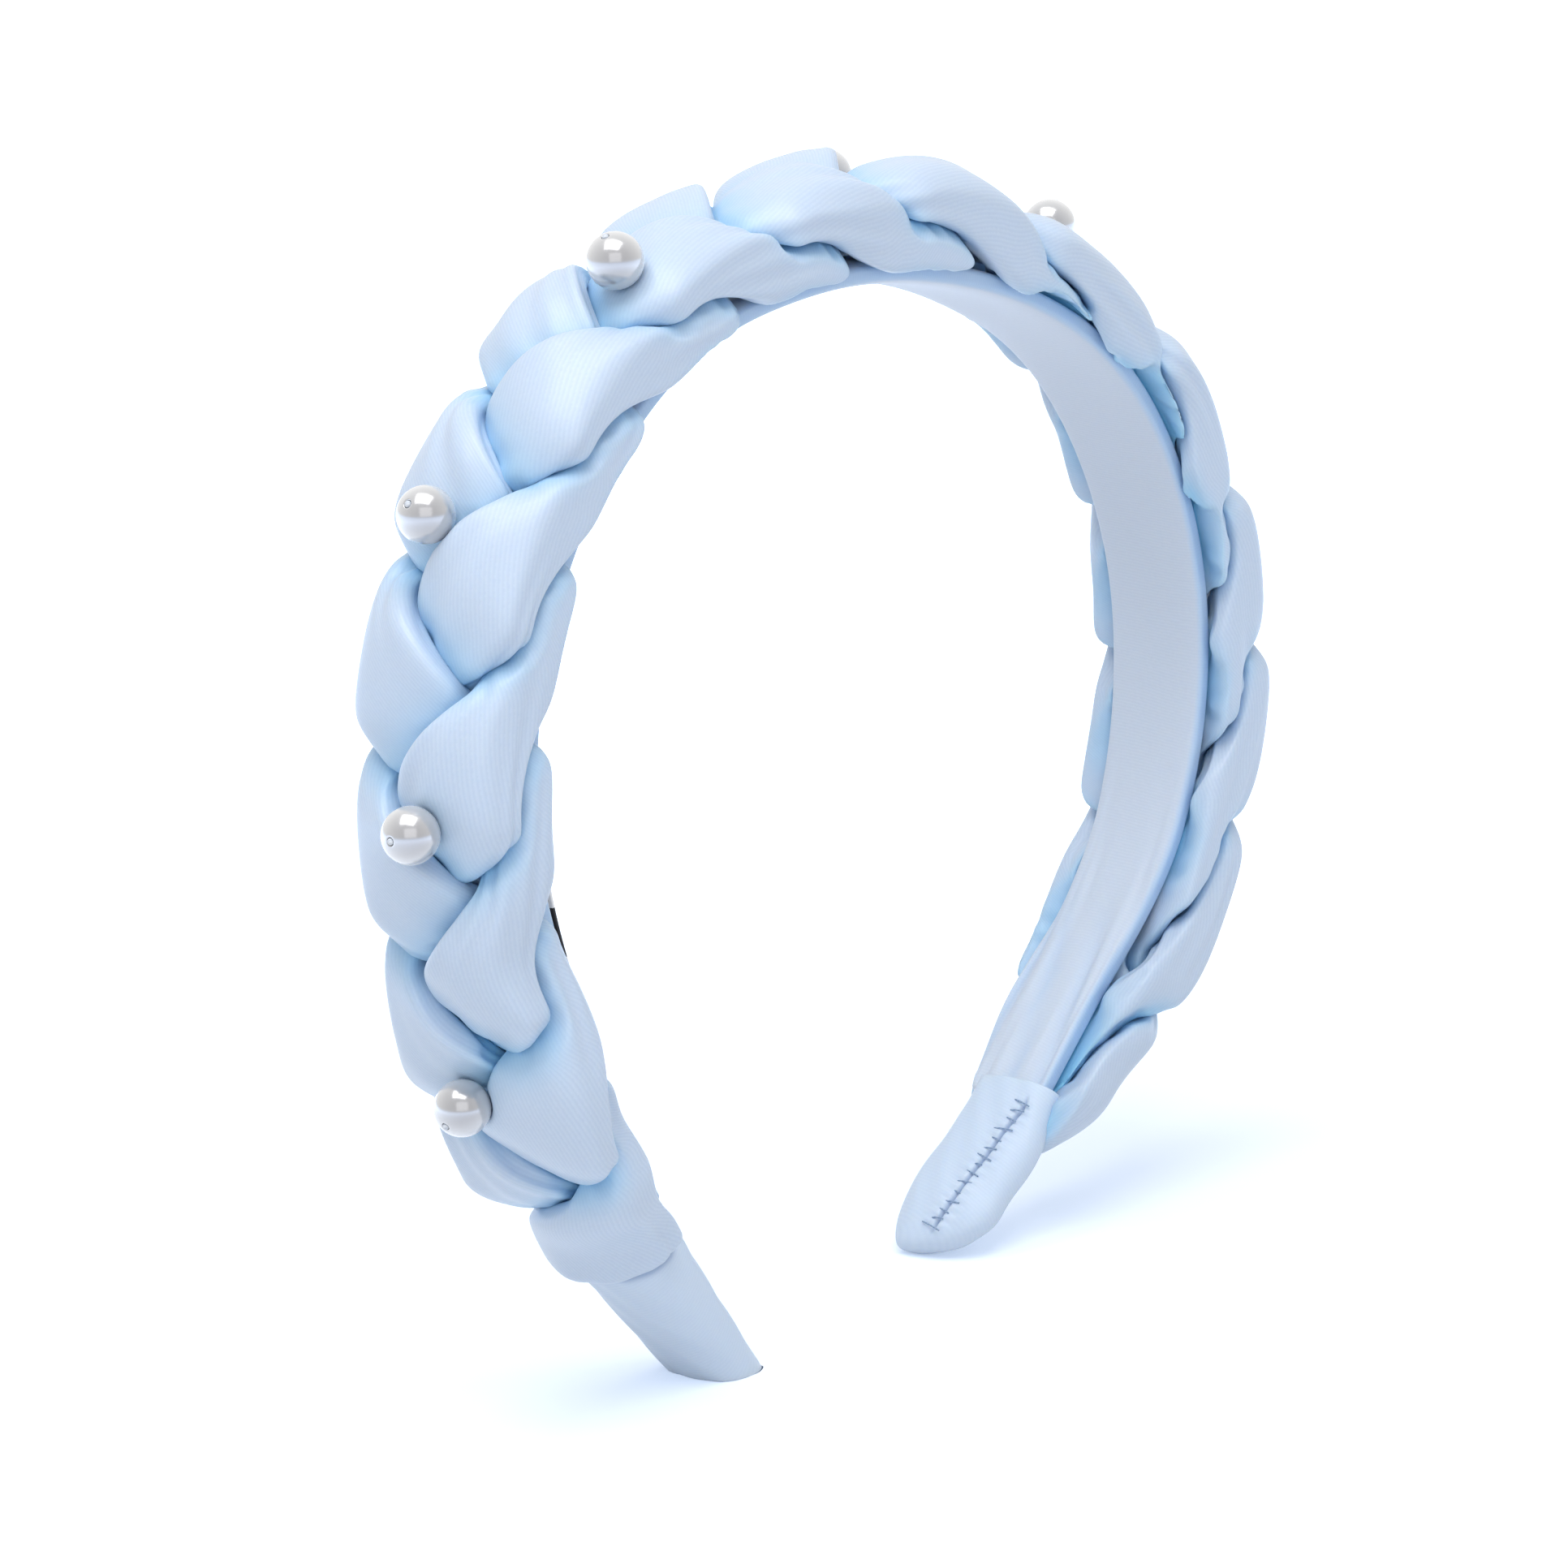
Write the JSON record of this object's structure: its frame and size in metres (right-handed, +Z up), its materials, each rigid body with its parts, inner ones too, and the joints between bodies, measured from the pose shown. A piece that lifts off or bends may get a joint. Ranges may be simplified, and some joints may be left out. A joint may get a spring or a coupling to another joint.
{
  "type": "headband",
  "caption": "Springy hoop headband with a satin-covered inner band, a padded three-strand satin braid on the outside, sewn-on pearls and stitched satin caps over its tips.",
  "frame": {"origin": "middle of the bounding box at the floor, between the two tips the headband stands on", "axes": "+X from the longer left arm to the right arm, ear to ear; +Y across the band, away from the seam edge; +Z up from the tips to the crown"},
  "size_m": [0.1778, 0.0272, 0.152],
  "materials": {
    "core": "plain flexible plastic strip",
    "lining": "pale blue satin, dull side",
    "satin": "pale blue satin with a fine weave",
    "cap": "pale blue satin",
    "thread": "sewing thread",
    "pearl": "white pearl coating",
    "label": "plain woven tape"
  },
  "bodies": {
    "right_half": {"core_right": "core", "lining_right": "lining", "strand_a_right": "satin", "strand_b_right": "satin", "strand_c_right": "satin", "tip_cap_right": "cap", "cap_stitches_right": "thread", "pearl_threads_right": "thread"},
    "left_half": {"core_left": "core", "lining_left": "lining", "strand_a_left": "satin", "strand_b_left": "satin", "strand_c_left": "satin", "tip_cap_left": "cap", "cap_stitches_left": "thread", "pearl_threads_left": "thread", "label": "label"},
    "pearl_1": {"pearl_1": "pearl"},
    "pearl_2": {"pearl_2": "pearl"},
    "pearl_3": {"pearl_3": "pearl"},
    "pearl_4": {"pearl_4": "pearl"},
    "pearl_5": {"pearl_5": "pearl"},
    "pearl_6": {"pearl_6": "pearl"},
    "pearl_7": {"pearl_7": "pearl"},
    "pearl_8": {"pearl_8": "pearl"},
    "pearl_9": {"pearl_9": "pearl"}
  },
  "joints": [
    {"name": "spread", "type": "hinge", "parent": "right_half", "child": "left_half", "pos_m": [-0.01333, 0, 0.13612], "axis": [0, 1, 0], "range_deg": [-8, 28], "stiffness_Nm_per_rad": 1.3},
    {"name": "pearl_1_spin", "type": "hinge", "parent": "left_half", "child": "pearl_1", "pos_m": [-0.07471, 0.0017, 0.04466], "axis": [-0.8935, 0, -0.449], "continuous": true},
    {"name": "pearl_2_spin", "type": "hinge", "parent": "left_half", "child": "pearl_2", "pos_m": [-0.08377, -0.0014, 0.08032], "axis": [-0.9999, 0, -0.0107], "continuous": true},
    {"name": "pearl_3_spin", "type": "hinge", "parent": "left_half", "child": "pearl_3", "pos_m": [-0.07406, 0.0025, 0.11613], "axis": [-0.8614, 0, 0.5079], "continuous": true},
    {"name": "pearl_4_spin", "type": "hinge", "parent": "left_half", "child": "pearl_4", "pos_m": [-0.04606, -0.0039, 0.14274], "axis": [-0.4547, 0, 0.8907], "continuous": true},
    {"name": "pearl_5_spin", "type": "hinge", "parent": "right_half", "child": "pearl_5", "pos_m": [0.00962, 0.009, 0.14687], "axis": [0.1432, 0, 0.9897], "continuous": true},
    {"name": "pearl_6_spin", "type": "hinge", "parent": "right_half", "child": "pearl_6", "pos_m": [0.0486, 0.0022, 0.13653], "axis": [0.5, 0, 0.866], "continuous": true},
    {"name": "pearl_7_spin", "type": "hinge", "parent": "right_half", "child": "pearl_7", "pos_m": [0.0699, 0.01, 0.11216], "axis": [0.845, 0, 0.5347], "continuous": true},
    {"name": "pearl_8_spin", "type": "hinge", "parent": "right_half", "child": "pearl_8", "pos_m": [0.08381, -0.002, 0.06765], "axis": [0.9913, 0, -0.1317], "continuous": true},
    {"name": "pearl_9_spin", "type": "hinge", "parent": "right_half", "child": "pearl_9", "pos_m": [0.07, 0.01, 0.04155], "axis": [0.8523, 0, -0.5231], "continuous": true}
  ]
}
